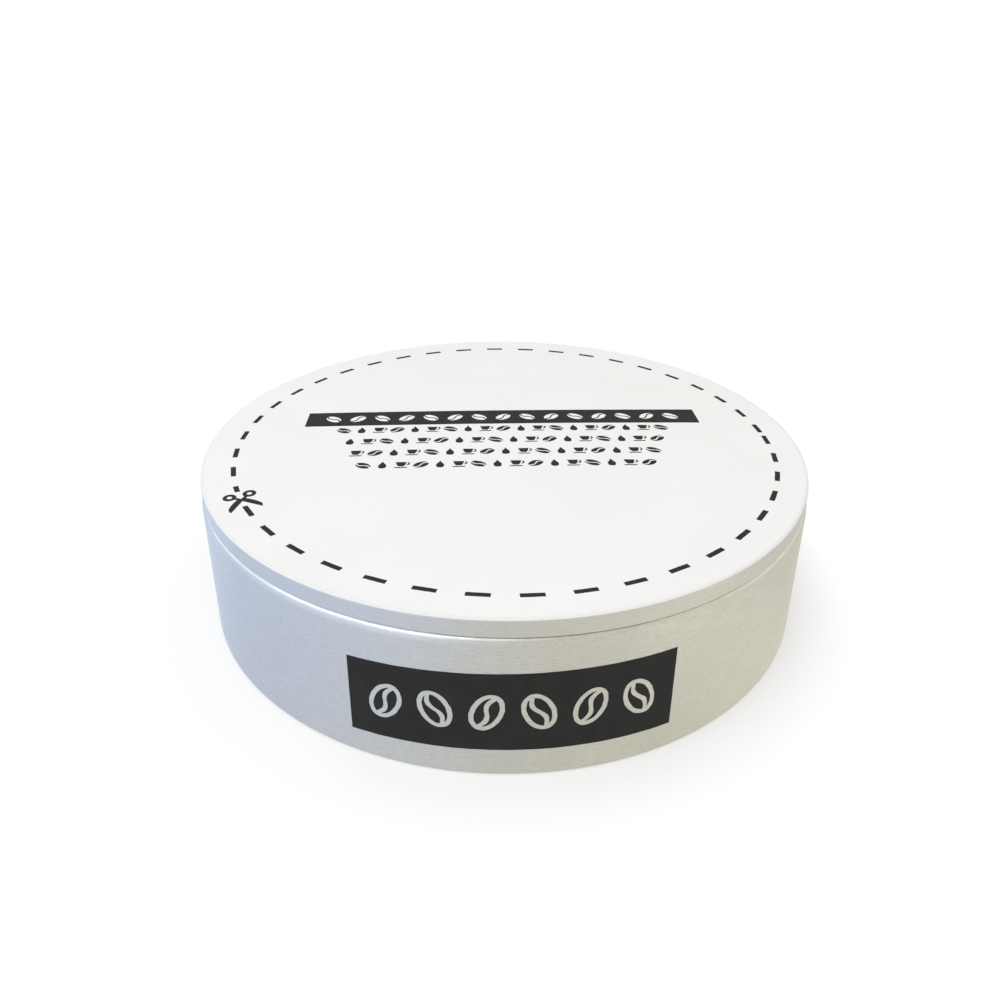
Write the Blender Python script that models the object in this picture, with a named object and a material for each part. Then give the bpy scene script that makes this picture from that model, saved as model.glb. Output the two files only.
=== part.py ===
"""Shallow round storage tin with a lift-off lid, built from three turned sheet-metal pieces.

Units are metres and +Z is up. The origin is on the tin's axis, on the surface that it stands on.
Each piece is a half section, a list of (radius, height) points, turned once round the Z axis.
"""

import math

import bmesh
import bpy

# Driving dimensions of the whole tin
TIN_DIAMETER = 0.2006  # outside of the wall
TIN_HEIGHT = 0.050  # from the standing surface to the lid's top face

# Sheet thickness of each piece
LID_SHEET = 0.0003
WALL_SHEET = 0.0003
BASE_SHEET = 0.0003

# Lid
LID_SKIRT_DEPTH = 0.0055  # from the top face to the skirt's lower edge
LID_CORNER_RADIUS = 0.0008  # outside rounding between top face and skirt
LID_HEM_FOLD = 0.0001  # slack inside the skirt edge's fold, over two sheets
LID_HEM_STOP = 0.0014  # single-sheet skirt left between the corner and the hem

# How the lid sits on the wall
LID_INSET = 0.0005  # skirt's outside, inside that of the wall below it
LID_SLIP_GAP = 0.0003  # around the neck, so that the lid slides
LID_SEAT_GAP = 0.0003  # between the top panel and the mouth rim that carries it
LID_LINE_GAP = 0.0002  # from the skirt's lower edge down to the shoulder's top

# Wall
SHOULDER_RADIUS = 0.0011  # outside rounding where the wall steps in under the lid
RIM_ROLL_RADIUS = 0.0007  # rolled-in safe edge at the mouth
FOOT_RADIUS = 0.0008  # outside rounding at the standing edge
FOOT_FLAT = 0.0032  # flat width that the tin stands on
FOOT_LIP = 0.0010  # height of the lip turned up at the foot's inner edge

# Base
BASE_SEAM_GAP = 0.0003  # round the base's edge, inside the foot
BASE_RISE = 0.0010  # panel's underside above the foot's lip
BASE_CORNER_RADIUS = 0.0006  # outside rounding where the panel steps down
BASE_BEAD_INSET = 0.0090  # flat panel between that rounding and the stiffening bead
BASE_BEAD_WIDTH = 0.0060
BASE_BEAD_RISE = 0.0005

# Smoothness of the turned shapes
TURN_STEPS = 72
ARC_STEPS = 4
ROLL_STEPS = 9
BEAD_STEPS = 4
SHARP_ANGLE = math.radians(40)
MERGE_DISTANCE = 0.000001

# Derived radii and heights
OUTER = TIN_DIAMETER / 2
LID_OUTER = OUTER - LID_INSET
LID_HEM = 2 * LID_SHEET + LID_HEM_FOLD
LID_LOWER_EDGE = TIN_HEIGHT - LID_SKIRT_DEPTH
NECK = LID_OUTER - max(LID_HEM + LID_SLIP_GAP, LID_CORNER_RADIUS)
MOUTH_TOP = TIN_HEIGHT - LID_SHEET - LID_SEAT_GAP
SHOULDER_TOP = LID_LOWER_EDGE - LID_LINE_GAP
FOOT_INNER = OUTER - FOOT_RADIUS - FOOT_FLAT

# Colour, roughness and metallic value of each piece
FINISHES = {
    "lid_shell": ((0.90, 0.90, 0.89), 0.45, 0.0),
    "body_wall": ((0.70, 0.70, 0.69), 0.38, 1.0),
    "base_plate": ((0.66, 0.66, 0.65), 0.32, 1.0),
}


def clear_scene():
    for item in list(bpy.data.objects):
        bpy.data.objects.remove(item)


def arc(centre, radius, start, end, steps=ARC_STEPS):
    """Points round a centre, from one angle to the other in degrees, both ends included."""
    if radius <= MERGE_DISTANCE:
        return [centre]
    angles = [math.radians(start + (end - start) * i / steps) for i in range(steps + 1)]
    return [(centre[0] + radius * math.cos(a), centre[1] + radius * math.sin(a)) for a in angles]


def finish(name):
    """The piece's own material."""
    colour, roughness, metallic = FINISHES[name]
    material = bpy.data.materials.new(name + "_finish")
    material.use_nodes = True
    shader = material.node_tree.nodes["Principled BSDF"]
    shader.inputs["Base Color"].default_value = (*colour, 1.0)
    shader.inputs["Roughness"].default_value = roughness
    shader.inputs["Metallic"].default_value = metallic
    return material


def turned(name, section, height=0.0, closed=False):
    """One object from a half section turned round Z. An open section starts and ends on the axis."""
    shape = bmesh.new()
    points = [shape.verts.new((radius, 0.0, z)) for radius, z in section]
    ends = points[1:] + points[:1] if closed else points[1:]
    lines = [shape.edges.new(pair) for pair in zip(points, ends)]
    bmesh.ops.spin(
        shape, geom=points + lines, cent=(0, 0, 0), axis=(0, 0, 1), angle=2 * math.pi, steps=TURN_STEPS
    )
    bmesh.ops.remove_doubles(shape, verts=shape.verts, dist=MERGE_DISTANCE)
    bmesh.ops.recalc_face_normals(shape, faces=shape.faces)
    mesh = bpy.data.meshes.new(name)
    shape.to_mesh(mesh)
    shape.free()
    mesh.shade_smooth()
    mesh.set_sharp_from_angle(angle=SHARP_ANGLE)
    mesh.materials.append(finish(name))
    piece = bpy.data.objects.new(name, mesh)
    piece.location.z = height
    bpy.context.scene.collection.objects.link(piece)
    return piece


def lid_section():
    """Top panel, rounded corner and skirt with its edge folded back inside, up from the lower edge."""
    top = LID_SKIRT_DEPTH
    inner = LID_OUTER - LID_SHEET
    corner = (LID_OUTER - LID_CORNER_RADIUS, top - LID_CORNER_RADIUS)
    fold = (LID_OUTER - LID_HEM / 2, LID_HEM / 2)
    hem_top = corner[1] - LID_HEM_STOP
    return [
        (0.0, top),
        *arc(corner, LID_CORNER_RADIUS, 90, 0),
        *arc(fold, LID_HEM / 2, 0, -180, 2 * ARC_STEPS),
        (LID_OUTER - LID_HEM, hem_top),
        (inner, hem_top),
        *arc(corner, LID_CORNER_RADIUS - LID_SHEET, 0, 90),
        (0.0, top - LID_SHEET),
    ]


def wall_section():
    """Mouth roll, neck, shoulder, straight wall, foot and lip, then back up the inside."""
    roll = (NECK - RIM_ROLL_RADIUS, MOUTH_TOP - RIM_ROLL_RADIUS)
    roll_start = 360 - math.degrees(math.acos(1 - WALL_SHEET / RIM_ROLL_RADIUS))
    shoulder_radius = min(SHOULDER_RADIUS, OUTER - NECK)
    shoulder = (OUTER - shoulder_radius, SHOULDER_TOP - shoulder_radius)
    foot = (OUTER - FOOT_RADIUS, FOOT_RADIUS)
    return [
        *arc(roll, RIM_ROLL_RADIUS, roll_start, 0, ROLL_STEPS),
        (NECK, SHOULDER_TOP),
        *arc(shoulder, shoulder_radius, 90, 0),
        *arc(foot, FOOT_RADIUS, 0, -90),
        (FOOT_INNER, 0.0),
        (FOOT_INNER, FOOT_LIP),
        (FOOT_INNER + WALL_SHEET, FOOT_LIP),
        (FOOT_INNER + WALL_SHEET, WALL_SHEET),
        *arc(foot, FOOT_RADIUS - WALL_SHEET, -90, 0),
        *arc(shoulder, shoulder_radius - WALL_SHEET, 0, 90),
        (NECK - WALL_SHEET, SHOULDER_TOP - WALL_SHEET),
    ]


def bead_line(middle):
    """Radius and rise across the base's stiffening bead, from its inner side out."""
    shares = [2 * i / BEAD_STEPS - 1 for i in range(BEAD_STEPS + 1)]
    half_width, half_rise = BASE_BEAD_WIDTH / 2, BASE_BEAD_RISE / 2
    return [(middle + half_width * x, half_rise * (1 + math.cos(math.pi * x))) for x in shares]


def base_section():
    """Raised, beaded panel that steps down, outside the foot's lip, to a rim lying on the foot."""
    rim_under = WALL_SHEET + BASE_SEAM_GAP
    rim_edge = OUTER - FOOT_RADIUS - BASE_SEAM_GAP
    riser = FOOT_INNER + WALL_SHEET + BASE_SEAM_GAP + BASE_SHEET
    panel_top = FOOT_LIP + BASE_RISE + BASE_SHEET
    corner = (riser - BASE_CORNER_RADIUS, panel_top - BASE_CORNER_RADIUS)
    bead = bead_line(corner[0] - BASE_BEAD_INSET - BASE_BEAD_WIDTH / 2)
    return [
        (0.0, panel_top),
        *[(radius, panel_top + rise) for radius, rise in bead],
        *arc(corner, BASE_CORNER_RADIUS, 90, 0),
        (riser, rim_under + BASE_SHEET),
        (rim_edge, rim_under + BASE_SHEET),
        (rim_edge, rim_under),
        (riser - BASE_SHEET, rim_under),
        *arc(corner, BASE_CORNER_RADIUS - BASE_SHEET, 0, 90),
        *[(radius, panel_top - BASE_SHEET + rise) for radius, rise in reversed(bead)],
        (0.0, panel_top - BASE_SHEET),
    ]


def main():
    clear_scene()
    turned("body_wall", wall_section(), closed=True)
    turned("base_plate", base_section())
    turned("lid_shell", lid_section(), height=LID_LOWER_EDGE)


main()
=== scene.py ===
"""Looks of a shallow round storage tin with a lift-off lid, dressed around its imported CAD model.

Shapes are written in millimetres and become metres when a mesh is made. +Z is up and the printed
front faces -Y. Angles round the tin are in degrees from the front, positive towards +X. The studio
and the camera are written in metres.
"""

import math

import bmesh
import bpy
from mathutils import Matrix, Vector, noise


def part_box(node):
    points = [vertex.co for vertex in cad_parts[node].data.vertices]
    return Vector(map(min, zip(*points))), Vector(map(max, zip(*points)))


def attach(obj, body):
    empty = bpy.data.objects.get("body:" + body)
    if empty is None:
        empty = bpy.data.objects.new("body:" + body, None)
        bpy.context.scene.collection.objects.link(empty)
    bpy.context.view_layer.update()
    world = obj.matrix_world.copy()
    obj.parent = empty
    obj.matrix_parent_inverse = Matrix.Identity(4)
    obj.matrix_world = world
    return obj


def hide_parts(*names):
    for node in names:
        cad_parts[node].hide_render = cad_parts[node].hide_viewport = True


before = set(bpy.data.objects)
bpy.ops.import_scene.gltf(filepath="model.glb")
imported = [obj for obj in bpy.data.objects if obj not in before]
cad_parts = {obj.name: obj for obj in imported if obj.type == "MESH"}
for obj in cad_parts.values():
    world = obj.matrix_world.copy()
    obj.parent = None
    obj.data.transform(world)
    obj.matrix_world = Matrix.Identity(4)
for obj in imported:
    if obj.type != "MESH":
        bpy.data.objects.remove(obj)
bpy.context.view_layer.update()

MM = 0.001

# Printed films lie on the metal, and their faces reach the CAD model's outside
FILM = 0.03  # how far a film stands proud
BITE = 0.02  # how deep its underside sits in the surface that carries it

# Main sizes of the tin, from the CAD model
lid_low, lid_high = (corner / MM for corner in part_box("lid_shell"))
wall_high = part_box("body_wall")[1] / MM
base_low, base_high = (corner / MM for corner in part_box("base_plate"))
OUTER = wall_high.x - FILM
TOP = lid_high.z - FILM
SHEET = 0.3
BEVEL = 0.1  # broken edges of the bent sheet
SMOOTH_ANGLE = 35.0  # edges sharper than this stay hard

# Lid
LID_OUTER = lid_high.x - FILM
LID_CORNER = 0.8  # rounding between top face and skirt
LID_HEM = 0.7  # thickness of the skirt's folded edge
LID_HEM_HEIGHT = 3.45
LID_DROP = 0.15  # how far the skirt reaches below the CAD model's
LID_EDGE = lid_low.z - LID_DROP
LID_HEM_TOP = LID_EDGE + LID_HEM_HEIGHT
LID_HOLD = 0.25  # straight skirt next to its roundings, with rings of its own
LID_RINGS = (0, 25, 50, 75, 90, 97, 98.7)  # radii of the top face's rings of vertices
LID_UNDER_RINGS = (97, 60, 0)
WHITE_END = 24.0  # where the white ends on the rounded corner, in degrees above its side

# Wall
NECK = OUTER - 1.5  # outside of the neck that the lid slides over
NECK_FILLET = 0.15
MOUTH_TOP = wall_high.z - FILM
ROLL = 0.7  # radius of the mouth's rolled edge
SHOULDER = 1.4
LINE_GAP = 0.08  # from the lid's lower edge down to the shoulder
SHOULDER_TOP = LID_EDGE - LINE_GAP
EASE = 6.0  # slow rounding that leads from the shoulder to the straight wall
EASE_END = 18.0  # where it meets the shoulder, in degrees above the wall's side
WALL_RINGS = (30.0, 15.0)  # heights of the straight wall's rings of vertices
FOOT = 0.8  # rounding at the standing edge
FOOT_HOLD = 0.3  # straight wall next to that rounding, with a ring of its own
FOOT_INNER = OUTER - 4.0  # inner edge of the ring that the tin stands on
FOOT_LIP = 1.0  # height of the lip turned up at that edge
LAP_STEP = 0.14  # the wall's lap seam at the back: how far one end is tucked in
LAP_SPAN = 3.0  # and the angle over which it comes back out
LAP_COLUMNS = [-179.99, -179.5, -178.5, -177.5, 179.5, 179.99]  # finer columns of vertices beside it

# Base
BASE_RING = OUTER - 15.7  # middle of the stiffening bead pressed into the base
BASE_RING_HALF = 3.0
BASE_RING_RISE = 0.5
BASE_TOP = base_high.z - BASE_RING_RISE
BASE_RISER = FOOT_INNER + 0.9  # where the panel steps down, outside the foot's lip
BASE_EDGE = base_high.x
BASE_RIM = base_low.z
BASE_CORNER = 0.6
BASE_RINGS = (0, 40, 75)  # radii of the panel's rings of vertices inside the bead
BASE_OUTER_RING = 92.0  # and outside it

# Columns round the tin, and steps in each rounding: first on the outside, then on the sheet's inside
COLUMNS = [float(angle) for angle in range(-180, 180)]
CORNER_STEPS = (8, 8)
BARE_CORNER_STEPS = 4
FOLD_STEPS = 14
ROLL_STEPS = 20
FILLET_STEPS = 4
SHOULDER_STEPS = (16, 8)
EASE_STEPS = (8, 6)
FOOT_STEPS = (10, 6)
BASE_CORNER_STEPS = (6, 4)
BASE_RING_STEPS = 12

# Print on the wall
LABEL_SIZE = (88.0, 25.0)
LABEL_HEIGHT = 20.76
LABEL_TILT = 0.7
LABEL_BOW = 0.55  # how far its middle stands above its ends
LABEL_FLARE = 0.00055  # how much taller it gets with each millimetre to the right
LABEL_BEANS = 6
LABEL_BEAN_STEP = 13.4
LABEL_BEAN_LEAN = 24
LABEL_BEAN = (6.2, 4.3)  # half length and half width
LABEL_STROKE = 1.35
LABEL_CUT = 1.5  # width of the strips that bend it round the wall
LABEL_CUTS = 30  # number of cuts to each side of the middle one

# Print on the lid
LID_TURN = 1.25  # how far the bar and the rows are turned on the lid
LID_BOW = 1.05  # how far the bar's middle stands behind its ends
BAR_SIZE = (140.6, 11.5)
BAR_PLACE = (0.34, 16.65)
BAR_BEANS = 15
BAR_BEAN_STEP = 8.7
BAR_BEAN_LEAN = 40
BAR_BEAN = (3.1, 2.0, 0.55)  # half length, half width and crease
ROW_COUNTS = (19, 18, 17, 16)
ROW_STEP = 6.2
ROW_TOP = 6.9
ROW_DROP = 8.9
MARK_SIZE = 1.3
MARK_LEAN = 32
MARK_BEAN = (2.1, 1.35, 0.42)
RING_RADIUS = 89.8
RING_SHIFT = (0.25, -0.44)  # the printed ring is a little off the lid's middle
RING_SWAY = (0.33, 0.27)  # along it the dashes sway in two waves and in three
RING_WAVE = 0.17  # and its radius sways in three
DASH_SIZE = (6.5, 1.6)
DASH_COUNT = 42
DASH_STEP = 8.6365
FIRST_DASH = 95.19
CUT_DASH = 23  # the dash that the scissors have reached
CUT_DASH_LENGTH = 3.8
SCISSORS_ANGLE = -62.45
HANDLE_LEAN = 45.7  # from the line that the scissors cut along
BLADE_LEAN = 40.0
HANDLE_HALF = 0.52
EYE_AT = 4.15  # from the pivot
EYE = 2.02
EYE_STEPS = 30
EYE_HOLE = 0.80
EYE_HOLE_SWEEP = (0, 345, 23)  # start, end and steps of its loop
BLADE_INNER = 0.52  # from the blade's own line to its cutting edge
BLADE_OUTER = 1.5  # to the back of the blade, where it is widest
BLADE_WIDEST = 2.8  # from the pivot
BLADE_TAPER = 0.035
BLADE_BACK = (0.5, 1.7, 2.9, 4.1, 5.3, 6.6)  # points along its back, from the pivot
BLADE_TIP = 7.9

# Drawing of the print
WEAR_SEED = 1  # of the noise that makes printed edges waver
WEAR_STEP = 0.5
WEAR_WAVE = 1.4
WEAR_SLICE = 0.5  # height at which the noise is read
MARK_WEAR = 0.05  # how far a small mark's edge wavers
BEAN_WEAR = 0.12  # a bean's on the label
PANEL_WEAR = (0.07, 1.0, 3.0)  # a panel's, with its step and wave
ELLIPSE_STEPS = 36
BEAN_STEPS = 18  # round the rim of half a bean
CREASE_STEPS = 14
CREASE_WAVE = 0.3  # share of a bean's half width

# Metal, and the noise of all the materials, whose scales are cells in each metre
NOISE_RANGE = (0.3, 0.7)  # where most of a noise texture's values lie
FINE_GRAIN = (550.0, 4200.0, 4200.0)  # scales along the grain, across it and inwards
BROAD_GRAIN = (110.0, 2800.0, 2800.0)
FINE_SHARE = 0.65
BROAD_SHARE = 0.35
METAL_CLOUD = 28.0
CLOUD_RANGE = (0.35, 0.75)  # noise values over which the clouding darkens the metal
CLOUD_DARKENING = 0.35
STRETCH = 0.65  # how far highlights are drawn out where the grain runs round the tin
STRETCH_TURN = 0.25  # a quarter turn of that stretch
GRAIN_GLOSS = 0.07  # how far the roughness swings with the grain
CLOUD_GLOSS = 0.03
GRAIN_BUMP = (0.5, 0.00001)  # strength, and depth in metres
WALL_COLOUR = (0.65, 0.647, 0.626)
SKIRT_COLOUR = (0.64, 0.637, 0.617)
ROLLED_COLOUR = (0.62, 0.615, 0.60)
BRUSHED_ROUGHNESS = 0.42
ROLLED_ROUGHNESS = 0.36
WALL_GRAIN = 0.16  # how far the tone swings with the grain
SKIRT_GRAIN = 0.09
ROLLED_GRAIN = 0.10

# White lacquer
LACQUER_SPECULAR = 0.25
LACQUER_CLOUD = 35.0
LACQUER_TONES = (0.895, 0.897, 0.89), (0.915, 0.917, 0.91)
LACQUER_GLOSS = (0.50, 0.58)
PEEL = 1400.0
PEEL_BUMP = (0.25, 0.00003)
SPECK_CELLS = 220.0
SPECK_EDGE = (0.03, 0.07)  # distance from its middle over which a speck fades, in cells
SPECK_PICK = 0.988  # a cell has one where its random value is above this
SPECK_STRENGTH = 0.6
SPECK_COLOUR = (0.45, 0.42, 0.38)
RIM_SHADE_SPAN = (1.3, 0.7)  # from the skirt's outside in, over which a painted shade darkens the white towards the rim
# colour of that painted shade at the rim
RIM_SHADE_COLOUR = (0.85, 0.852, 0.845)

# Ink
INK_SPECULAR = 0.05
INK_CLOUD = 160.0
INK_CLOUD_SHARE = 0.6
INK_TOOTH = 2600.0
INK_TOOTH_SHARE = 0.4
INK_RANGE = (0.35, 0.7)  # noise values over which its tone swings
INK_SPREAD = 0.15
INK_GLOSS = (0.46, 0.6)
INK_BUMP = (0.2, 0.00002)
WALL_INK = 0.031
LID_INK = 0.0315

# Room, as metal shows it
LEFT_COLOUR = (0.595, 0.758, 1.09)
MIDDLE_COLOUR = (0.785, 0.775, 0.667)
RIGHT_COLOUR = (1.115, 1.062, 0.885)
BACK_SHADE = 0.71  # its light behind at the right, as a share
BACK_SHADE_START = 0.38  # share of the depth behind where that begins
BACK_LIFT = 1.16  # its light behind at the left, as a share
BACK_LIFT_RANGE = (0.9, 1.2)  # shares of the depth behind over which that grows
WORLD_REACH = (0.7, 1.2)  # half width of the world's colours, and depth behind
FRONT_SHADE = 0.2  # share of the world's light missing in front at the right
FRONT_RANGE = (-0.5, -0.3)  # Y of the directions over which that fades towards the back
FRONT_RIGHT_RANGE = (-0.2, 0.2)  # and X of those over which it grows to the right
ROOM_LIGHT = 0.5  # strength with which the world lights other surfaces
WHITE = (1.0, 1.0, 1.0)

# Floor
FLOOR_SIDE = 8.0
FLOOR_COLOUR = (0.92, 0.92, 0.92)
FLOOR_REACH = (0.13, 0.12)  # half width of its colours in metal, and depth behind
FLOOR_IN_METAL = 0.6  # how much of its glow shows in metal
NEAR_TIN = (0.10, 0.17)  # distance over which the glow's lean, a painted shadow and painted light, fades
NEAR_FRONT = (-0.08, 0.0)  # and the Y over which it fades towards the back
NEAR_LEAN = (3.4, 2.9, 0.4)  # shares by which its red, green and blue rise with each metre to the right: painted shadow on the tin's left, painted light on its right
NEAR_LEAN_END = 0.03  # how far to the right they rise
WHITE_RANGE = (0.10, 0.12)  # distance over which the floor turns white to the camera
WHITE_NEAR = 0.4  # share of white next to the tin

# Lamps: name, place, width and height, radiance, colour and what they reach
METAL_ONLY = (False, True)  # it lights no matt surface, and shows in metal
NOT_METAL = (True, False)
EVERYTHING = (True, True)
LAMPS = (
    ("front_window", (-0.76, -0.64, 0.50), (1.1, 0.45), 1.4, (1.0, 0.99, 0.965), METAL_ONLY),
    ("side_window", (-0.98, 0.17, 0.50), (1.1, 0.45), 1.15, (1.0, 0.99, 0.965), METAL_ONLY),
    ("low_window", (-0.80, -0.60, 0.17), (1.1, 0.32), 0.22, (1.0, 0.99, 0.98), METAL_ONLY),
    ("low_side", (-0.78, 0.62, 0.17), (1.1, 0.32), 0.28, (1.0, 0.99, 0.96), METAL_ONLY),
    ("right_back", (0.95, 0.36, 0.22), (1.3, 0.3), 0.86, (1.0, 0.98, 0.92), METAL_ONLY),
    ("fill", (0.95, -0.15, 0.75), (0.9, 0.9), 0.5, (1.0, 0.97, 0.92), NOT_METAL),
    ("overhead", (-0.35, -0.3, 1.1), (1.3, 1.3), 1.73, (1.0, 0.995, 0.985), EVERYTHING),
)
LAMP_AIM = Vector((0, 0, 0.03))

# Camera
LENS = 30.97
SENSOR = 36.0
FRAME_SHIFT = -0.075
CLIP_START = 0.01
CAMERA_TURN = -1.65  # its place round the tin
CAMERA_BACK = 0.26669
CAMERA_HEIGHT = 0.17903
CAMERA_PITCH = 24.958  # below the horizon
CAMERA_HEADING = 1.313  # to the right of +Y
CAMERA_ROLL = 0.45


def arc(centre, radius, start, end, steps):
    """Points round a centre, from one angle to the other in degrees, both ends included."""
    angles = [math.radians(start + (end - start) * i / steps) for i in range(steps + 1)]
    return [(centre[0] + radius * math.cos(a), centre[1] + radius * math.sin(a)) for a in angles]


def piece(name, shape, materials, body):
    """An object made from a bmesh in millimetres, riding on a CAD body."""
    bmesh.ops.recalc_face_normals(shape, faces=shape.faces)
    bmesh.ops.scale(shape, vec=(MM, MM, MM), verts=shape.verts)
    mesh = bpy.data.meshes.new(name)
    shape.to_mesh(mesh)
    shape.free()
    mesh.shade_smooth()
    mesh.set_sharp_from_angle(angle=math.radians(SMOOTH_ANGLE))
    for material in materials:
        mesh.materials.append(material)
    made = bpy.data.objects.new(name, mesh)
    bpy.context.scene.collection.objects.link(made)
    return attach(made, body)


# Turned sheet metal

def lap(angle):
    """How far the wall is tucked in beside its lap seam."""
    past = (angle + 180.0) / LAP_SPAN
    if not 0.0 < past < 1.0:
        return 0.0
    return LAP_STEP * (1 - past * past * (3 - 2 * past))


def turned(section, closed=False, columns=COLUMNS, tuck=None, slots=()):
    """A half section of (radius, height) points turned round Z. Slots are the strips' materials."""
    shape = bmesh.new()
    rings = []
    for radius, height in section:
        if radius == 0:
            rings.append([shape.verts.new((0, 0, height))] * len(columns))
            continue
        ring = []
        for angle in columns:
            reach = radius - (tuck(angle) if tuck else 0.0)
            turn = math.radians(angle)
            ring.append(shape.verts.new((reach * math.sin(turn), -reach * math.cos(turn), height)))
        rings.append(ring)
    pairs = list(zip(rings, rings[1:] + rings[:1] if closed else rings[1:]))
    for strip, (upper, lower) in enumerate(pairs):
        for i in range(len(columns)):
            corners = [upper[i - 1], upper[i], lower[i], lower[i - 1]]
            face = shape.faces.new(list(dict.fromkeys(corners)))
            face.material_index = slots[strip] if slots else 0
    return shape


def lid_sections():
    """The white part of the lid's section, the bare skirt and the panel's underside."""
    corner = (LID_OUTER - LID_CORNER, TOP - LID_CORNER)
    fold = (LID_OUTER - LID_HEM / 2, LID_EDGE + LID_HEM / 2)
    white = [(radius, TOP) for radius in LID_RINGS]
    white += arc(corner, LID_CORNER, 90, WHITE_END, CORNER_STEPS[0])
    bare = [
        *arc(corner, LID_CORNER, WHITE_END, 0, BARE_CORNER_STEPS)[1:],
        (LID_OUTER, corner[1] - LID_HOLD),
        (LID_OUTER, fold[1] + LID_HOLD),
        *arc(fold, LID_HEM / 2, 0, -180, FOLD_STEPS),
        (LID_OUTER - LID_HEM, LID_HEM_TOP - BEVEL),
        (LID_OUTER - LID_HEM + BEVEL, LID_HEM_TOP),
        (LID_OUTER - SHEET, LID_HEM_TOP),
        *arc(corner, LID_CORNER - SHEET, 0, 90, CORNER_STEPS[1]),
    ]
    under = [(radius, TOP - SHEET) for radius in LID_UNDER_RINGS]
    return white, bare, under


def wall_section():
    """Mouth roll, neck, shoulder, straight wall, foot and lip, then back up the inside."""
    inner = OUTER - SHEET
    roll = (NECK - ROLL, MOUTH_TOP - ROLL)
    roll_start = 360 - math.degrees(math.acos(1 - SHEET / ROLL))
    turn = math.radians(EASE_END)
    shoulder = (OUTER - EASE + (EASE - SHOULDER) * math.cos(turn), SHOULDER_TOP - SHOULDER)
    ease = (OUTER - EASE, shoulder[1] - (EASE - SHOULDER) * math.sin(turn))
    shoulder_start = math.degrees(math.acos((NECK + NECK_FILLET - shoulder[0]) / SHOULDER))
    step = shoulder[1] + SHOULDER * math.sin(math.radians(shoulder_start))
    fillet = (NECK + NECK_FILLET, step + NECK_FILLET)
    foot = (OUTER - FOOT, FOOT)
    return [
        *arc(roll, ROLL, roll_start, 0, ROLL_STEPS),
        *arc(fillet, NECK_FILLET, 180, 270, FILLET_STEPS)[:-1],
        *arc(shoulder, SHOULDER, shoulder_start, EASE_END, SHOULDER_STEPS[0]),
        *arc(ease, EASE, EASE_END, 0, EASE_STEPS[0])[1:],
        *[(OUTER, height) for height in WALL_RINGS],
        (OUTER, FOOT + FOOT_HOLD),
        *arc(foot, FOOT, 0, -90, FOOT_STEPS[0]),
        (FOOT_INNER + BEVEL, 0.0),
        (FOOT_INNER, BEVEL),
        (FOOT_INNER, FOOT_LIP),
        (FOOT_INNER + SHEET, FOOT_LIP),
        (FOOT_INNER + SHEET, SHEET),
        *arc(foot, FOOT - SHEET, -90, 0, FOOT_STEPS[1]),
        *[(inner, height) for height in reversed(WALL_RINGS)],
        *arc(ease, EASE - SHEET, 0, EASE_END, EASE_STEPS[1])[:-1],
        *arc(shoulder, SHOULDER - SHEET, EASE_END, shoulder_start, SHOULDER_STEPS[1]),
        (NECK - SHEET, step - SHEET + NECK_FILLET),
    ]


def base_section():
    """Beaded panel that steps down to its rim, then back along the underside."""
    corner = (BASE_RISER - BASE_CORNER, BASE_TOP - BASE_CORNER)
    flat = [(radius, 0.0) for radius in BASE_RINGS]
    for i in range(BASE_RING_STEPS + 1):
        share = 2 * i / BASE_RING_STEPS - 1
        rise = BASE_RING_RISE * (1 + math.cos(math.pi * share)) / 2
        flat.append((BASE_RING + BASE_RING_HALF * share, rise))
    flat.append((BASE_OUTER_RING, 0.0))
    return [
        *[(radius, BASE_TOP + rise) for radius, rise in flat],
        *arc(corner, BASE_CORNER, 90, 0, BASE_CORNER_STEPS[0]),
        (BASE_RISER, BASE_RIM + SHEET),
        (BASE_EDGE, BASE_RIM + SHEET),
        (BASE_EDGE, BASE_RIM),
        (BASE_RISER - SHEET, BASE_RIM),
        *arc(corner, BASE_CORNER - SHEET, 0, 90, BASE_CORNER_STEPS[1]),
        *[(radius, BASE_TOP - SHEET + rise) for radius, rise in reversed(flat)],
    ]


# Printed films

noise.seed_set(WEAR_SEED)


def worn(loop, amount, step=WEAR_STEP, wave=WEAR_WAVE):
    """The loop with its line wavering a little, as the edge of a stamped print does."""
    points = []
    for (x0, y0), (x1, y1) in zip(loop, loop[1:] + loop[:1]):
        count = max(1, math.ceil(math.hypot(x1 - x0, y1 - y0) / step))
        for i in range(count):
            x = x0 + (x1 - x0) * i / count
            y = y0 + (y1 - y0) * i / count
            shift = noise.noise_vector((x / wave, y / wave, WEAR_SLICE))
            points.append((x + amount * shift.x, y + amount * shift.y))
    return points


def placed(loop, x, y, turn=0.0, size=1.0):
    """The loop turned by degrees, scaled and moved."""
    c = size * math.cos(math.radians(turn))
    s = size * math.sin(math.radians(turn))
    return [(x + c * u - s * v, y + s * u + c * v) for u, v in loop]


def in_row(count, step, lean):
    """Even places along X round 0, each with its lean, which goes the other way from one to the next."""
    return [((i - (count - 1) / 2) * step, lean if i % 2 else -lean) for i in range(count)]


def bow(x, width):
    """Height of a shallow arch across that width, 1 in its middle and 0 at its ends."""
    return 1 - (2 * x / width) ** 2


def rectangle(width, height):
    """The corners of a rectangle round the origin."""
    w = width / 2
    h = height / 2
    return [(-w, -h), (w, -h), (w, h), (-w, h)]


def ellipse(a, b):
    """A loop with these half axes round the origin."""
    turns = [2 * math.pi * i / ELLIPSE_STEPS for i in range(ELLIPSE_STEPS)]
    return [(a * math.cos(t), b * math.sin(t)) for t in turns]


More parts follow.
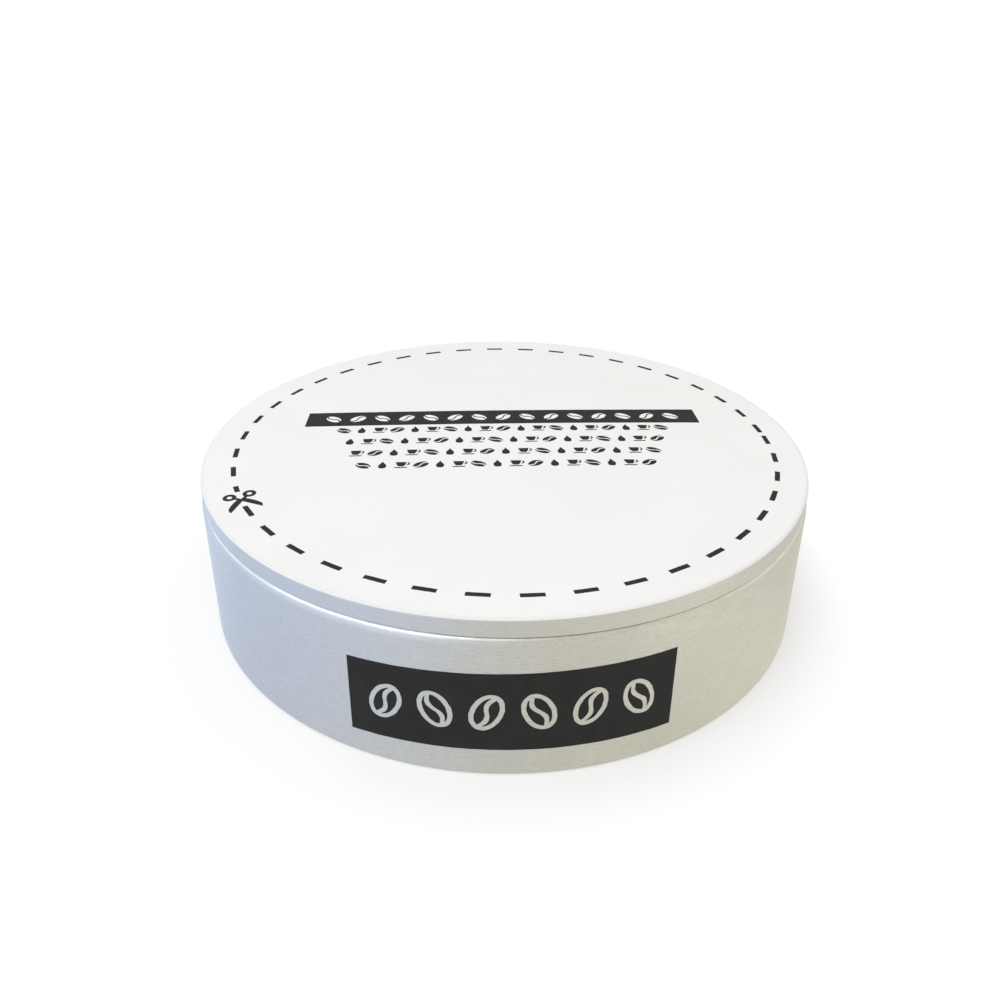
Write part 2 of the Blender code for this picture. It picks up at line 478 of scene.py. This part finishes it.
def bean_halves(a, b, gap):
    """Two halves of a bean lying along X, with a wavy crease of that width between them."""
    start = math.asin(gap / 2 / b)
    rim = [start + (math.pi - 2 * start) * i / BEAN_STEPS for i in range(BEAN_STEPS + 1)]
    reach = a * math.cos(start)
    along = [-reach + 2 * reach * i / CREASE_STEPS for i in range(1, CREASE_STEPS)]
    crease = [(u, CREASE_WAVE * b * math.sin(math.pi * u / reach)) for u in along]
    upper = [(a * math.cos(t), b * math.sin(t)) for t in rim]
    upper += [(u, v + gap / 2) for u, v in crease]
    lower = [(a * math.cos(t), -b * math.sin(t)) for t in reversed(rim)]
    lower += [(u, v - gap / 2) for u, v in reversed(crease)]
    return [upper, lower]


def small_bean(lean):
    """A leaning bean in two halves."""
    return [placed(half, 0, 0, lean) for half in bean_halves(*MARK_BEAN)]


def small_cup():
    """A cup with its handle, over a saucer."""
    bowl = [(-1.5, 1.5), (-1.25, 0.1), (-0.8, -0.75), (0.5, -0.75), (0.95, 0.1), (1.2, 1.5)]
    grip = (1.2, 0.6)
    handle = arc(grip, 0.85, 70, -95, 8) + arc(grip, 0.45, -80, 60, 6)
    saucer = [(-1.9, -1.15), (-1.5, -1.6), (1.2, -1.6), (1.6, -1.15)]
    return [bowl, handle, saucer]


def small_drop():
    """A drop that comes to a point at the top."""
    left = [(0.0, 1.9), (-0.5, 0.85), (-1.0, 0.0)]
    round_end = arc((0, -0.55), 1.15, 215, 325, 8)
    right = [(1.0, 0.0), (0.5, 0.85)]
    return [left + round_end + right]


def film(name, shapes, bend, material, body, cuts=()):
    """A thin solid print. Each shape is an outline with its holes, and bend lays it on the tin. Cuts are
    the X at which it can curve."""
    flat = bmesh.new()
    for outline, holes in shapes:
        lines = []
        for loop in (outline, *holes):
            points = [flat.verts.new((x, y, 0)) for x, y in loop]
            lines += [flat.edges.new((points[i - 1], points[i])) for i in range(len(points))]
        bmesh.ops.triangle_fill(flat, edges=lines, use_beauty=True, normal=(0, 0, 1))
    for x in cuts:
        every = flat.verts[:] + flat.edges[:] + flat.faces[:]
        bmesh.ops.bisect_plane(flat, geom=every, plane_co=(x, 0, 0), plane_no=(1, 0, 0))
    raised = bmesh.ops.extrude_face_region(flat, geom=flat.faces[:])["geom"]
    for item in raised:
        if isinstance(item, bmesh.types.BMVert):
            item.co.z = FILM + BITE
    for vert in flat.verts:
        vert.co = bend(vert.co)
    made = piece(name, flat, [material], body)


def on_lid(point):
    """A flat point of the bar or the rows, laid on the lid."""
    c = math.cos(math.radians(LID_TURN))
    s = math.sin(math.radians(LID_TURN))
    back = point.y + LID_BOW * bow(point.x, BAR_SIZE[0])
    return c * point.x - s * back, s * point.x + c * back, TOP - BITE + point.z


def on_ring(point):
    """A flat point of the dashed ring or the scissors, laid on the lid."""
    return point.x + RING_SHIFT[0], point.y + RING_SHIFT[1], TOP - BITE + point.z


def on_wall(point):
    """A flat point of the label, laid round the wall."""
    reach = OUTER - BITE + point.z
    turn = point.x / OUTER
    height = LABEL_HEIGHT + point.y * (1 + LABEL_FLARE * point.x)
    height += point.x * math.tan(math.radians(LABEL_TILT))
    height += LABEL_BOW * bow(point.x, LABEL_SIZE[0])
    return reach * math.sin(turn), -reach * math.cos(turn), height


def label_shapes():
    """A solid panel with line-drawn beans left open in it."""
    a, b = LABEL_BEAN
    inner = bean_halves(a - LABEL_STROKE, b - LABEL_STROKE, LABEL_STROKE)
    holes = []
    islands = []
    for x, lean in in_row(LABEL_BEANS, LABEL_BEAN_STEP, LABEL_BEAN_LEAN):
        holes.append(worn(placed(ellipse(a, b), x, 0, 90 + lean), BEAN_WEAR))
        islands += [(worn(placed(half, x, 0, 90 + lean), BEAN_WEAR), []) for half in inner]
    return [(worn(rectangle(*LABEL_SIZE), *PANEL_WEAR), holes)] + islands


def bar_shapes():
    """A solid bar with small beans left open in it."""
    halves = bean_halves(*BAR_BEAN)
    holes = []
    for x, lean in in_row(BAR_BEANS, BAR_BEAN_STEP, BAR_BEAN_LEAN):
        place = (BAR_PLACE[0] + x, BAR_PLACE[1], lean)
        holes += [worn(placed(half, *place), MARK_WEAR) for half in halves]
    return [(worn(placed(rectangle(*BAR_SIZE), *BAR_PLACE), *PANEL_WEAR), holes)]


def row_shapes():
    """Staggered rows of small marks under the bar."""
    shapes = []
    for row, count in enumerate(ROW_COUNTS):
        y = ROW_TOP - row * ROW_DROP
        for i, (x, lean) in enumerate(in_row(count, ROW_STEP, MARK_LEAN)):
            marks = (small_bean(lean), small_drop(), small_cup())
            loops = marks[(i + row) % len(marks)]
            shapes += [(worn(placed(loop, x, y, 0, MARK_SIZE), MARK_WEAR), []) for loop in loops]
    return shapes


def round_place(angle, radius):
    """Where an angle and radius lie in plan, and the direction of growing angle there."""
    turn = math.radians(angle)
    return radius * math.sin(turn), -radius * math.cos(turn), angle


def dash_shapes():
    """The dashes of the cut line, with a shorter one where the scissors are."""
    shapes = []
    for i in range(DASH_COUNT):
        length = DASH_SIZE[0]
        angle = FIRST_DASH + i * DASH_STEP
        if i == CUT_DASH:
            angle -= math.degrees((length - CUT_DASH_LENGTH) / 2 / RING_RADIUS)
            length = CUT_DASH_LENGTH
        turn = math.radians(angle)
        sway = RING_SWAY[0] * math.sin(2 * turn) + RING_SWAY[1] * math.sin(3 * turn)
        radius = RING_RADIUS - RING_WAVE * math.cos(3 * turn)
        place = round_place(angle + math.degrees(sway / RING_RADIUS), radius)
        shapes.append((worn(placed(rectangle(length, DASH_SIZE[1]), *place), MARK_WEAR), []))
    return shapes


def scissors_shapes():
    """Open scissors seen from above, alike on both sides of the line they cut along, which is X."""
    handle = math.radians(HANDLE_LEAN)
    blade = math.radians(BLADE_LEAN)

    def on_blade(along, out):
        """A point at that distance along the blade's line and that far out from it."""
        c = math.cos(blade)
        s = math.sin(blade)
        return c * along - s * out, s * along + c * out

    eye = (-EYE_AT * math.cos(handle), EYE_AT * math.sin(handle))
    clear = math.degrees(math.asin(HANDLE_HALF / EYE))
    widths = [BLADE_OUTER - BLADE_TAPER * (along - BLADE_WIDEST) ** 2 for along in BLADE_BACK]
    upper = [
        (-HANDLE_HALF / math.sin(handle), 0.0),
        *arc(eye, EYE, -HANDLE_LEAN - clear, -HANDLE_LEAN - 360 + clear, EYE_STEPS),
        *[on_blade(along, width) for along, width in zip(BLADE_BACK, widths)],
        on_blade(BLADE_TIP, -BLADE_INNER),
        (BLADE_INNER / math.sin(blade), 0.0),
    ]
    lower = [(u, -v) for u, v in reversed(upper[1:-1])]
    place = round_place(SCISSORS_ANGLE, RING_RADIUS)
    holes = [arc((eye[0], side * eye[1]), EYE_HOLE, *EYE_HOLE_SWEEP) for side in (1, -1)]
    return [(placed(upper + lower, *place), [placed(hole, *place) for hole in holes])]


# Material nodes

def add(tree, kind, inputs=None, **settings):
    """A node with its settings made and its inputs linked or set."""
    node = tree.nodes.new("ShaderNode" + kind)
    for key, value in settings.items():
        setattr(node, key, value)
    for key, value in (inputs or {}).items():
        if isinstance(value, bpy.types.NodeSocket):
            tree.links.new(value, node.inputs[key])
        else:
            node.inputs[key].default_value = value
    return node


def maths(tree, operation, *values):
    """The result of a calculation with single values."""
    return add(tree, "Math", dict(enumerate(values)), operation=operation).outputs[0]


def vectors(tree, operation, *values):
    """The result of a calculation with vectors."""
    return add(tree, "VectorMath", dict(enumerate(values)), operation=operation).outputs[0]


def scaled(tree, vector, factor):
    """The vector times one value."""
    return add(tree, "VectorMath", {0: vector, "Scale": factor}, operation="SCALE").outputs[0]


def length_of(tree, vector):
    """The vector's length."""
    return add(tree, "VectorMath", {0: vector}, operation="LENGTH").outputs["Value"]


def split(tree, vector):
    """The vector's X, Y and Z."""
    return add(tree, "SeparateXYZ", {0: vector}).outputs


def from_axis(tree, place):
    """How far a place is from the tin's axis."""
    return length_of(tree, vectors(tree, "MULTIPLY", place, (1.0, 1.0, 0.0)))


def noise_of(tree, vector, scale=1.0, detail=2.0, roughness=0.5):
    """A noise texture's value."""
    settings = {"Vector": vector, "Scale": scale, "Detail": detail, "Roughness": roughness}
    return add(tree, "TexNoise", settings).outputs["Fac"]


def ranged(tree, value, low, high, to_low, to_high):
    """The value moved from one range to another, and kept inside it."""
    settings = {"Value": value, 1: low, 2: high, 3: to_low, 4: to_high}
    return add(tree, "MapRange", settings).outputs["Result"]


def mixed(tree, factor, first, second):
    """A colour between two others."""
    node = add(tree, "Mix", {0: factor}, data_type="RGBA")
    for socket, value in ((node.inputs[6], first), (node.inputs[7], second)):
        if isinstance(value, bpy.types.NodeSocket):
            tree.links.new(value, socket)
        else:
            socket.default_value = (*value, 1.0)
    return node.outputs[2]


def new_material(name, **constants):
    """A material, its node tree, its shader and its object coordinates."""
    material = bpy.data.materials.new(name)
    material.use_nodes = True
    tree = material.node_tree
    shader = tree.nodes["Principled BSDF"]
    for key, value in constants.items():
        shader.inputs[key.replace("_", " ")].default_value = value
    return material, tree, shader, add(tree, "TexCoord").outputs["Object"]


def connect(tree, shader, colour, roughness, height, bump):
    """Links colour, roughness and a bump to the shader. The bump has a strength and a depth."""
    tree.links.new(colour, shader.inputs["Base Color"])
    tree.links.new(roughness, shader.inputs["Roughness"])
    relief = add(tree, "Bump", {"Strength": bump[0], "Distance": bump[1], "Height": height})
    tree.links.new(relief.outputs["Normal"], shader.inputs["Normal"])


def shades(colour, spread):
    """A darker and a lighter shade of the colour."""
    return [tuple(c * k for c in colour) for k in (1 - spread, 1 + spread)]


# Materials

def brushed_metal(name, colour, rough, grain, round_tin=True):
    """Bare sheet metal with a fine grain, round the tin or straight along X."""
    stretch = STRETCH if round_tin else 0.0
    constants = {"Metallic": 1.0, "Anisotropic": stretch, "Anisotropic_Rotation": STRETCH_TURN}
    material, tree, shader, place = new_material(name, **constants)
    parts = split(tree, place)
    if round_tin:
        tangent = add(tree, "Tangent", direction_type="RADIAL", axis="Z")
        tree.links.new(tangent.outputs[0], shader.inputs["Tangent"])
        turn = maths(tree, "ARCTAN2", parts["X"], maths(tree, "MULTIPLY", parts["Y"], -1.0))
        along = maths(tree, "MULTIPLY", turn, OUTER * MM)
        across = parts["Z"]
        inwards = maths(tree, "SUBTRACT", from_axis(tree, place), OUTER * MM)
    else:
        along, across, inwards = parts["X"], parts["Y"], parts["Z"]
    grid = add(tree, "CombineXYZ", {"X": along, "Y": across, "Z": inwards}).outputs[0]
    fine = noise_of(tree, vectors(tree, "MULTIPLY", grid, FINE_GRAIN), detail=3.0, roughness=0.6)
    broad = noise_of(tree, vectors(tree, "MULTIPLY", grid, BROAD_GRAIN))
    cloud = noise_of(tree, place, METAL_CLOUD, detail=3.0)
    streak = maths(tree, "MULTIPLY_ADD", fine, FINE_SHARE, maths(tree, "MULTIPLY", broad, BROAD_SHARE))
    dark, light = shades(colour, grain)
    tone = mixed(tree, ranged(tree, streak, *NOISE_RANGE, 0.0, 1.0), dark, light)
    tone = mixed(tree, ranged(tree, cloud, *CLOUD_RANGE, 0.0, CLOUD_DARKENING), tone, dark)
    gloss = ranged(tree, streak, *NOISE_RANGE, rough + GRAIN_GLOSS, rough - GRAIN_GLOSS)
    gloss = maths(tree, "ADD", gloss, ranged(tree, cloud, *NOISE_RANGE, -CLOUD_GLOSS, CLOUD_GLOSS))
    connect(tree, shader, tone, gloss, fine, GRAIN_BUMP)
    return material


def white_lacquer():
    """Satin white with a faint orange peel, slight clouding, a few tiny specks and painted shade darkening
    it towards the rim.
    """
    material, tree, shader, place = new_material("white_lacquer", Specular_IOR_Level=LACQUER_SPECULAR)
    cloud = noise_of(tree, place, LACQUER_CLOUD, detail=3.0)
    peel = noise_of(tree, place, PEEL)
    cells = add(tree, "TexVoronoi", {"Vector": place, "Scale": SPECK_CELLS}, feature="F1")
    near = ranged(tree, cells.outputs["Distance"], *SPECK_EDGE, 1.0, 0.0)
    pick = add(tree, "SeparateColor", {0: cells.outputs["Color"]}).outputs[0]
    speck = maths(tree, "MULTIPLY", near, maths(tree, "GREATER_THAN", pick, SPECK_PICK))
    tone = mixed(tree, ranged(tree, cloud, *NOISE_RANGE, 0.0, 1.0), *LACQUER_TONES)
    tone = mixed(tree, maths(tree, "MULTIPLY", speck, SPECK_STRENGTH), tone, SPECK_COLOUR)
    start, end = ((LID_OUTER - inset) * MM for inset in RIM_SHADE_SPAN)
    # painted shade: the white darkens towards the lid's rim
    thin = ranged(tree, from_axis(tree, place), start, end, 0.0, 1.0)
    tone = mixed(tree, thin, tone, RIM_SHADE_COLOUR)
    gloss = ranged(tree, cloud, *NOISE_RANGE, *LACQUER_GLOSS)
    connect(tree, shader, tone, gloss, peel, PEEL_BUMP)
    return material


def black_ink(name, tone_of_ink):
    """Flat printing ink, a little uneven where it lies thinner."""
    material, tree, shader, place = new_material(name, Specular_IOR_Level=INK_SPECULAR)
    cloud = noise_of(tree, place, INK_CLOUD, detail=4.0, roughness=0.6)
    tooth = noise_of(tree, place, INK_TOOTH)
    clouds = maths(tree, "MULTIPLY", cloud, INK_CLOUD_SHARE)
    blend = maths(tree, "MULTIPLY_ADD", tooth, INK_TOOTH_SHARE, clouds)
    dark, light = shades((tone_of_ink,) * 3, INK_SPREAD)
    tone = mixed(tree, ranged(tree, blend, *INK_RANGE, 0.0, 1.0), dark, light)
    gloss = ranged(tree, blend, *NOISE_RANGE, *INK_GLOSS)
    connect(tree, shader, tone, gloss, tooth, INK_BUMP)
    return material


# The tin

metal = brushed_metal("satin_metal", WALL_COLOUR, BRUSHED_ROUGHNESS, WALL_GRAIN)
lid_metal = brushed_metal("lid_metal", SKIRT_COLOUR, BRUSHED_ROUGHNESS, SKIRT_GRAIN)
plain_metal = brushed_metal("rolled_metal", ROLLED_COLOUR, ROLLED_ROUGHNESS, ROLLED_GRAIN, round_tin=False)
lacquer = white_lacquer()
wall_ink = black_ink("wall_ink", WALL_INK)
lid_ink = black_ink("lid_ink", LID_INK)

white, bare, under = lid_sections()
lid_slots = [0] * (len(white) - 1) + [1] * len(bare) + [2] * len(under)
lid_shape = turned(white + bare + under, slots=lid_slots)
lid = piece("lid", lid_shape, [lacquer, lid_metal, plain_metal], "lid")
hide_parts("lid_shell")

seam_columns = sorted(COLUMNS + LAP_COLUMNS)
seam_columns.remove(-180.0)
wall = piece("wall", turned(wall_section(), True, seam_columns, lap), [metal], "tin")
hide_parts("body_wall")

base = piece("base", turned(base_section()), [plain_metal], "tin")
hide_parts("base_plate")

label_cuts = [x * LABEL_CUT for x in range(-LABEL_CUTS, LABEL_CUTS + 1)]
film("front_label", label_shapes(), on_wall, wall_ink, "tin", label_cuts)
film("lid_bar", bar_shapes(), on_lid, lid_ink, "lid")
film("lid_rows", row_shapes(), on_lid, lid_ink, "lid")
film("cut_line", dash_shapes(), on_ring, lid_ink, "lid")
film("scissors", scissors_shapes(), on_ring, lid_ink, "lid")


# Studio

def surroundings(tree, place, across, behind):
    """Colour of the room in metal: cool on the left, warm on the right, dimmer behind at the right and
    brighter behind at the left."""
    parts = split(tree, place)
    ramp = add(tree, "ValToRGB", {0: ranged(tree, parts["X"], -across, across, 0.0, 1.0)})
    ramp.color_ramp.elements.new(0.5)
    for stop, colour in zip(ramp.color_ramp.elements, (LEFT_COLOUR, MIDDLE_COLOUR, RIGHT_COLOUR)):
        stop.color = (*colour, 1.0)
    right_back = maths(tree, "ADD", parts["X"], parts["Y"])
    shade = ranged(tree, right_back, BACK_SHADE_START * behind, behind, 1.0, BACK_SHADE)
    left_back = maths(tree, "SUBTRACT", parts["Y"], parts["X"])
    start, end = (share * behind for share in BACK_LIFT_RANGE)
    shade = maths(tree, "MULTIPLY", shade, ranged(tree, left_back, start, end, 1.0, BACK_LIFT))
    return scaled(tree, ramp.outputs[0], shade)


def seen_rays(tree):
    """1 for rays to the camera, and 1 for those that show the room in metal or through glass."""
    path = add(tree, "LightPath").outputs
    mirror = maths(tree, "MAXIMUM", path["Is Glossy Ray"], path["Is Transmission Ray"])
    return path["Is Camera Ray"], mirror


def floor_in_metal(tree, place, away):
    """The floor's glow as metal shows it: the room's colours, leaning to the right close in front, with
    painted shadow on the tin's left and painted light on its right.
    """
    parts = split(tree, place)
    front = ranged(tree, parts["Y"], *NEAR_FRONT, 1.0, 0.0)
    close = maths(tree, "MULTIPLY", ranged(tree, away, *NEAR_TIN, 1.0, 0.0), front)
    # painted shadow on the tin's left and painted light on its right, in the glow close in front
    lean = maths(tree, "MULTIPLY", close, maths(tree, "MINIMUM", parts["X"], NEAR_LEAN_END))
    tint = vectors(tree, "MULTIPLY_ADD", lean, NEAR_LEAN, WHITE)
    return vectors(tree, "MULTIPLY", surroundings(tree, place, *FLOOR_REACH), tint)


def make_floor():
    """A pale floor that turns to plain white away from the tin and keeps the shadow near it."""
    mesh = bpy.data.meshes.new("floor")
    corners = [(x, y, 0) for x, y in rectangle(FLOOR_SIDE, FLOOR_SIDE)]
    mesh.from_pydata(corners, [], [(0, 1, 2, 3)])
    floor = bpy.data.objects.new("floor", mesh)
    bpy.context.scene.collection.objects.link(floor)
    material = bpy.data.materials.new("pale_floor")
    material.use_nodes = True
    tree = material.node_tree
    tree.nodes.remove(tree.nodes["Principled BSDF"])
    place = add(tree, "TexCoord").outputs["Object"]
    away = length_of(tree, place)
    camera, mirror = seen_rays(tree)
    shown = mixed(tree, camera, floor_in_metal(tree, place, away), WHITE)
    matte = add(tree, "BsdfDiffuse", {"Color": (*FLOOR_COLOUR, 1.0)}).outputs[0]
    glow = add(tree, "Emission", {"Color": shown, "Strength": 1.0}).outputs[0]
    near = maths(tree, "MULTIPLY", camera, ranged(tree, away, *WHITE_RANGE, WHITE_NEAR, 1.0))
    share = maths(tree, "MULTIPLY_ADD", mirror, FLOOR_IN_METAL, near)
    blend = add(tree, "MixShader", {0: share, 1: matte, 2: glow}).outputs[0]
    tree.links.new(blend, tree.nodes["Material Output"].inputs["Surface"])
    mesh.materials.append(material)


def make_world():
    """A plain room: white to the camera, in its own colours in metal, and a soft light elsewhere."""
    world = bpy.data.worlds.new("studio")
    bpy.context.scene.world = world
    world.use_nodes = True
    tree = world.node_tree
    place = add(tree, "TexCoord").outputs["Generated"]
    camera, mirror = seen_rays(tree)
    parts = split(tree, place)
    front = ranged(tree, parts["Y"], *FRONT_RANGE, FRONT_SHADE, 0.0)
    right = ranged(tree, parts["X"], *FRONT_RIGHT_RANGE, 0.0, -1.0)
    dim = maths(tree, "MULTIPLY_ADD", front, right, 1.0)
    room = scaled(tree, surroundings(tree, place, *WORLD_REACH), dim)
    colour = mixed(tree, mirror, WHITE, room)
    strength = ranged(tree, maths(tree, "MAXIMUM", camera, mirror), 0.0, 1.0, ROOM_LIGHT, 1.0)
    background = tree.nodes["Background"]
    tree.links.new(colour, background.inputs["Color"])
    tree.links.new(strength, background.inputs["Strength"])


def softbox(name, place, size, radiance, colour, reaches):
    """A large soft lamp aimed at the tin. It may show in metal alone, or light all but metal."""
    light = bpy.data.lights.new(name, "AREA")
    light.shape = "RECTANGLE"
    light.size, light.size_y = size
    light.energy = radiance * math.pi * size[0] * size[1]
    light.color = colour
    lamp = bpy.data.objects.new(name, light)
    lamp.location = place
    lamp.visible_diffuse, lamp.visible_glossy = reaches
    lamp.rotation_euler = (LAMP_AIM - Vector(place)).to_track_quat("-Z", "Y").to_euler()
    bpy.context.scene.collection.objects.link(lamp)


def make_camera():
    """A camera with the photograph's view of the tin."""
    data = bpy.data.cameras.new("camera")
    data.sensor_fit = "HORIZONTAL"
    data.sensor_width = SENSOR
    data.lens = LENS
    data.shift_y = FRAME_SHIFT
    data.clip_start = CLIP_START
    camera = bpy.data.objects.new("camera", data)
    turn = math.radians(CAMERA_TURN)
    place = Vector((CAMERA_BACK * math.sin(turn), -CAMERA_BACK * math.cos(turn), CAMERA_HEIGHT))
    camera.matrix_world = (
        Matrix.Translation(place)
        @ Matrix.Rotation(math.radians(-CAMERA_HEADING), 4, "Z")
        @ Matrix.Rotation(math.radians(90 - CAMERA_PITCH), 4, "X")
        @ Matrix.Rotation(math.radians(CAMERA_ROLL), 4, "Z")
    )
    bpy.context.scene.collection.objects.link(camera)
    bpy.context.scene.camera = camera


make_floor()
make_world()
for lamp in LAMPS:
    softbox(*lamp)
make_camera()
bpy.context.scene.view_settings.view_transform = "Standard"
